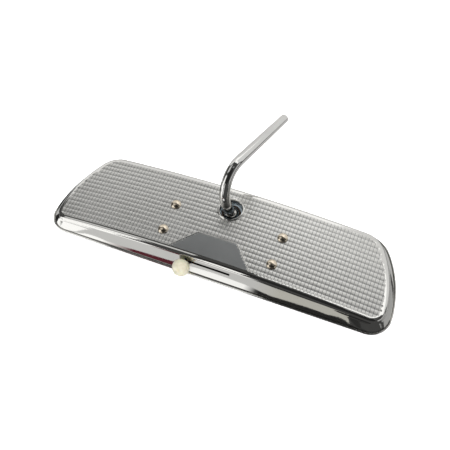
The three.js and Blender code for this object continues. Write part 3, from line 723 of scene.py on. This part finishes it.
# dome r = R cos(a), z = h sin(a)^fullness, on a shank clinched under the bracket
def makeRivets():
    for number in range(1, 5):
        low, high = (np.array(corner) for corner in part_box(f"rivet_{number}"))
        middle = ((low + high) / 2 - headShift) / mm
        top = (high[2] / mm) - rivet["height"]
        a = np.linspace(0.0, np.pi / 2, 20)
        dome = np.stack([rivet["radius"] * np.cos(a), rivet["height"] * np.sin(a) ** rivet["fullness"]], -1)
        wide, end, upper = rivet["clinch"], rivet["clinchEnd"], rivet["clinchTop"]
        under = rounded([(0, end), (wide - 0.5, end), (wide, end + 0.5), (wide, upper),
                         (rivet["shank"], upper), (rivet["shank"], 0), (rivet["underHead"], -0.12)],
                        [0, 0.3, 0.3, 0.2, 0.1, 0.1, 0.05], 3)
        shape = turned(np.concatenate([under, dome]), (middle[0], middle[1], top), sides=56)
        finishPiece(newPiece(f"domedRivet{number}", shape), "head", [f"rivet_{number}"],
                    [nickelRivet])


makeRivets()

knob = {"radius": 6.1, "flat": 4.3, "bore": 0.95, "seam": 0.05}
shank = {"radius": 0.65, "footRadius": 2.2, "collarRadius": 2.0, "foot": (40.2, 41.1),
         "collar": (43.3, 43.9), "end": 51.5}


# ball cut flat at the back, with a faint moulding seam round its widest ring
def makeKnob():
    low, high = (np.array(corner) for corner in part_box("knob"))
    centre = ((low + high) / 2 - headShift) / mm
    centre[1] = (low[1] - headShift[1]) / mm + knob["radius"]
    skin = ballArc(knob["radius"], -knob["flat"], knob["radius"] - 1e-6, 48)
    skin[:, 0] -= knob["seam"] * (1 - np.exp(-(skin[:, 1] / 0.25) ** 2)) * (skin[:, 0] > 1)
    back = rounded([(0, 0.2), (knob["bore"], 0.2), (knob["bore"], -knob["flat"]), tuple(skin[0])],
                   [0, 0.2, 0.25, 0.0], 4)
    shape = turned(np.concatenate([back, skin[1:]]), centre, (0, -1, 0), 72)
    finishPiece(newPiece("ballKnob", shape), "slider", ["knob"], [ivoryPlastic])
    thin, wide, mid, end = shank["radius"], shank["footRadius"], shank["collarRadius"], shank["end"]
    (footIn, footOut), (collarIn, collarOut) = shank["foot"], shank["collar"]
    profile = rounded([(0, footIn), (wide, footIn), (wide, footOut), (thin, footOut), (thin, collarIn),
                       (mid, collarIn), (mid, collarOut), (thin, collarOut), (thin, end), (0, end)],
                      [0, 0.2, 0.2, 0.05, 0.05, 0.15, 0.15, 0.05, 0.1, 0], 3)
    turnedShank = turned(profile, (centre[0], 0, centre[2]), (0, -1, 0), 36)
    finishPiece(newPiece("collaredShank", turnedShank), "slider", ["knob_shank"],
                [platedSteel])


makeKnob()

pin = {"head": 1.9, "headLength": 0.7, "radius": 1.1}


# headed pin turned along an axis
def makePin(name, node, origin, axis, length):
    profile = rounded([(0, 0), (pin["head"], 0), (pin["head"], pin["headLength"]),
                       (pin["radius"], pin["headLength"]), (pin["radius"], length), (0, length)],
                      [0, 0.25, 0.15, 0.05, 0.25, 0], 3)
    finishPiece(newPiece(name, turned(profile, origin, axis, 32)), "glass_carrier", [node],
                [platedSteel])


def makePins():
    for node, name, axis in (("follower_pin_1", "liftingPin1", (0, -1, 0)),
                             ("follower_pin_2", "liftingPin2", (0, -1, 0)),
                             ("pivot_pin_left", "hingePinLeft", (-1, 0, 0)),
                             ("pivot_pin_right", "hingePinRight", (1, 0, 0))):
        low, high = ((np.array(corner) - headShift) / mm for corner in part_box(node))
        middle = (low + high) / 2
        k = int(np.argmax(np.abs(axis)))
        start = middle.copy()
        start[k] = high[k] if axis[k] < 0 else low[k]
        makePin(name, node, start, axis, high[k] - low[k])


makePins()
print("rivets, knob and pins made")


for nodeNames, material in ((("ball_bracket", "slide_guide_1", "slide_guide_2", "hinge_lug_left",
                              "hinge_lug_right", "slide_bar", "glass_tray"), platedSteel),
                            (("backing_card",), greyBoard)):
    for nodeName in nodeNames:
        node = frame["nodes"][nodeName]
        node.data.materials.clear()
        node.data.materials.append(material)


view = {"target": (0.0007, -0.0241, 0.0200), "distance": 0.4683, "heading": 116.59, "dip": 57.50,
        "roll": -5.31, "lens": 54.06, "sensor": 36, "reach": 50}
studio = {"world": 0.06, "floorGlow": 0.75, "floorColour": "#f4f4f4", "floorRoughness": 0.9,
          "floorSize": 12.0}
softTop = {"place": (0.1, -0.3, 1.1), "size": (0.9, 0.9), "power": 14.0}
backdrop = {"radius": 11000, "thickness": 100, "foot": -10, "top": 9000, "sides": 48, "glow": 1.0}


def makeCamera():
    heading, dip = math.radians(view["heading"]), math.radians(view["dip"])
    forward = Vector((math.cos(dip) * math.cos(heading), math.cos(dip) * math.sin(heading), -math.sin(dip)))
    data = bpy.data.cameras.new("camera")
    data.lens = view["lens"]
    data.sensor_width = view["sensor"]
    data.clip_end = view["reach"]
    camera = bpy.data.objects.new("camera", data)
    turn = forward.to_track_quat("-Z", "Y").to_matrix().to_4x4()
    place = Matrix.Translation(Vector(view["target"]) - forward * view["distance"])
    camera.matrix_world = place @ turn @ Matrix.Rotation(math.radians(view["roll"]), 4, "Z")
    bpy.context.scene.collection.objects.link(camera)
    bpy.context.scene.camera = camera


# point at a distance in a direction given by its heading from +X and its rise over the floor
def seenAt(heading, rise, distance):
    h, r = math.radians(heading), math.radians(rise)
    return distance * Vector((math.cos(r) * math.cos(h), math.cos(r) * math.sin(h), math.sin(r)))


def emitter(name, colour, glow):
    material, tree, shader = newMaterial(name)
    shader.inputs["Base Color"].default_value = (0, 0, 0, 1)
    shader.inputs["Specular IOR Level"].default_value = 0.0
    shader.inputs["Emission Color"].default_value = linear(colour)
    shader.inputs["Emission Strength"].default_value = glow
    return material


# a card is seen only in reflections, and casts no shadow
def hideCard(card):
    card.visible_camera = False
    card.visible_shadow = False
    card.visible_diffuse = False


# flat card with its middle at `centre` that faces `facing`
def makeCard(name, centre, facing, width, height, glow):
    centre = Vector(centre)
    turn = (Vector(facing) - centre).to_track_quat("Z", "Y").to_matrix()
    w, h = width / 2, height / 2
    corners = [centre + turn @ Vector(c) for c in ((-w, -h, 0), (w, -h, 0), (w, h, 0), (-w, h, 0))]
    mesh = bpy.data.meshes.new(name)
    mesh.from_pydata([tuple(c) for c in corners], [], [(0, 1, 2, 3)])
    mesh.materials.append(emitter(name + "Paint", white, glow))
    card = bpy.data.objects.new(name, mesh)
    bpy.context.scene.collection.objects.link(card)
    hideCard(card)


def makeLight(name, place, size, power):
    data = bpy.data.lights.new(name, "AREA")
    data.shape = "RECTANGLE"
    data.size, data.size_y = size
    data.energy = power
    light = bpy.data.objects.new(name, data)
    light.location = place
    light.rotation_euler = (-Vector(place)).to_track_quat("-Z", "Y").to_euler()
    light.visible_camera = False
    light.visible_glossy = False
    bpy.context.scene.collection.objects.link(light)


# cards round the mirror: middle, point it faces, width, height (m), glow
aroundCards = {
    "backLowRight": ((0.45, 0.60, 0.20), (0.45, -1, 0.20), 1.5, 0.50, 0.72),
    "backLowLeft": ((-0.75, 0.60, 0.20), (-0.75, -1, 0.20), 0.9, 0.50, 0.60),
    "backHighMiddle": ((-0.075, 0.60, 0.75), (-0.075, -1, 0.75), 0.45, 0.60, 1.15),
    "backHighRight": ((0.675, 0.60, 0.75), (0.675, -1, 0.75), 1.05, 0.60, 0.75),
    "backHighLeft": ((-0.75, 0.60, 0.72), (-0.75, -1, 0.72), 0.9, 0.54, 0.85),
    "backTopRight": ((0.57, 0.60, 1.20), (0.57, -1, 1.20), 1.38, 0.30, 1.2),
    "backTopLeft": ((-0.75, 0.60, 1.10), (-0.75, -1, 1.10), 0.9, 0.22, 0.10),
    "topRight": (seenAt(-4, 68, 1.2), (0, 0, 0), 0.35, 0.35, 0.7),
    "sideRight": (seenAt(0, 12, 1.2), (0, 0, 0), 1.0, 0.6, 0.45),
    "lowLeft": (seenAt(-138, 6, 1.0), (0, 0, 0), 0.72, 0.72, 1.2),
    "lowMiddle": (seenAt(-102, 20, 1.0), (0, 0, 0), 0.15, 0.72, 1.1),
    "highLeft": ((-0.95, -0.62, 0.80), (-0.95, 0.18, 0), 0.86, 0.65, 1.1),
    "topLeft": ((-0.75, 0.10, 1.15), (-0.75, 0.10, 0), 0.80, 0.60, 0.62),
    "darkCeiling": (seenAt(-63, 60, 0.9), (0, 0, 0), 1.0, 0.85, 0.02),
}
# front bands lie on the floor before the bottom rim: near and far edge, each as pairs of x and distance
# from the bezel (mm), then x from, to, and the tones along x: (x, glow, colour)
white, beige, maroon = "#ffffff", "#f4f2ea", "#8c4450"
nearEdge = ((-108, 23), (-85, 14), (-70, 12), (-35, 12), (0, 14), (25, 13.5), (45, 11), (65, 14.4), (85, 19),
            (97, 31))
middleEdge = ((-115, 31), (-70, 28), (25, 28), (45, 22.4), (65, 24), (85, 30), (97, 43.6))
nearTones = ((-88, 1.2, white), (-62, 0.40, maroon), (-25, 0.36, maroon), (-15, 1.1, white),
             (25, 1.1, white), (34, 0.02, white))
middleTones = ((-80, 0.64, white), (30, 0.60, white), (50, 0.57, beige))
farTones = ((-62, 1.2, white), (-54, 0.42, maroon), (-25, 0.42, maroon), (-20, 1.0, white),
            (22, 1.0, white), (30, 0.03, white))
frontBands = {
    "frontNear": (((0, 0.3),), nearEdge, -170, 125, nearTones),
    "frontMiddle": (nearEdge, middleEdge, -170, 101, middleTones),
    "frontFar": (middleEdge, ((0, 90),), -170, 125, farTones),
}
# rim bands follow the rim: distance out from, to (mm), heading of the rim's normal from, to (degrees), glow
rimBands = {
    "leftFloor": (2, 300, -180, -135, 0.02),
    "rightNear": (0.5, 2.5, -50, 60, 1.0),
    "rightMiddle": (4, 9, -20, 60, 0.5),
    "rightFar": (12, 60, -20, 60, 0.4),
    "backFloor": (1, 1500, 60, 180, 0.55),
}
bandSizes = {"frontLift": 0.1, "rimLift": 0.05, "frontSteps": 101}      # lift over the head's z = 0, in mm


# a band's glow and colour are read along x from its list of tones
def paintBand(name, points, quads, tones):
    band = newPiece(name, (points, quads), outward=False)
    spots = np.empty(len(band.data.vertices) * 3)
    band.data.vertices.foreach_get("co", spots)
    places = [x for x, glow, colour in tones]
    glows = np.array([[*(glow * np.array(linear(colour)[:3])), 1.0] for x, glow, colour in tones])
    tone = np.stack([np.interp(spots[::3] / mm, places, channel) for channel in glows.T], -1)
    band.data.attributes.new("tone", "FLOAT_COLOR", "POINT").data.foreach_set("color", tone.ravel())
    paint = emitter(name + "Paint", white, 1.0)
    shader = paint.node_tree.nodes["Principled BSDF"]
    along = addNode(paint.node_tree, "ShaderNodeAttribute", {}, attribute_name="tone")
    paint.node_tree.links.new(along.outputs["Color"], shader.inputs["Emission Color"])
    band.data.materials.append(paint)
    hideCard(band)


def makeFrontBand(name, near, far, left, right, tones):
    x = np.linspace(left, right, bandSizes["frontSteps"])
    out = np.array([np.interp(x, *zip(*edge)) for edge in (near, far)])
    y = outlineSizes["bottom"] - bezel["out"] - out
    points = np.column_stack([np.tile(x, 2), y.ravel(), np.full(2 * len(x), bandSizes["frontLift"])])
    paintBand(name, points, gridQuads(2, len(x)), tones)


def makeRimBand(name, near, far, low, high, glow):
    loop, normal = outlineLoop()
    section = [(bezel["out"] + near, bandSizes["rimLift"]), (bezel["out"] + far, bandSizes["rimLift"])]
    points, quads = framed(section, loop, normal, close=False)
    heading = np.degrees(np.arctan2(normal[:, 1], normal[:, 0]))[quads[:, 0] % len(loop)]
    paintBand(name, points, quads[(heading >= low) & (heading <= high)], ((0, glow, white),))


def makeStudio():
    floorZ = min(corner[2] for corner in cadBounds)
    size = studio["floorSize"]
    mesh = bpy.data.meshes.new("floor")
    corners = [(-size, -size, floorZ), (size, -size, floorZ), (size, size, floorZ), (-size, size, floorZ)]
    mesh.from_pydata(corners, [], [(0, 1, 2, 3)])
    floor = bpy.data.objects.new("floor", mesh)
    bpy.context.scene.collection.objects.link(floor)
    near, far = backdrop["radius"], backdrop["radius"] + backdrop["thickness"]
    foot, top = backdrop["foot"], backdrop["top"]
    wallRing = [(near, foot), (near, top), (far, top), (far, foot)]
    wall = newPiece("backdrop", turned(wallRing, sides=backdrop["sides"]))
    wall.data.materials.append(emitter("whiteWall", white, backdrop["glow"]))
    wall.visible_diffuse = False
    wall.visible_glossy = False
    wall.visible_shadow = False
    material, tree, shader = newMaterial("whitePaperSweep")
    shader.inputs["Base Color"].default_value = linear(studio["floorColour"])
    shader.inputs["Roughness"].default_value = studio["floorRoughness"]
    shader.inputs["Emission Color"].default_value = (1, 1, 1, 1)
    shader.inputs["Emission Strength"].default_value = studio["floorGlow"]
    mesh.materials.append(material)
    floor.visible_glossy = False
    world = bpy.data.worlds.new("softRoom")
    world.use_nodes = True
    world.node_tree.nodes["Background"].inputs["Color"].default_value = (1, 1, 1, 1)
    world.node_tree.nodes["Background"].inputs["Strength"].default_value = studio["world"]
    bpy.context.scene.world = world
    bpy.context.scene.view_settings.view_transform = "Standard"
    makeLight("softTop", softTop["place"], softTop["size"], softTop["power"])
    for name, (middle, facing, width, height, glow) in aroundCards.items():
        makeCard(name, middle, facing, width, height, glow)
    for name, band in frontBands.items():
        makeFrontBand(name, *band)
    for name, band in rimBands.items():
        makeRimBand(name, *band)


makeCamera()
makeStudio()
print("studio made")
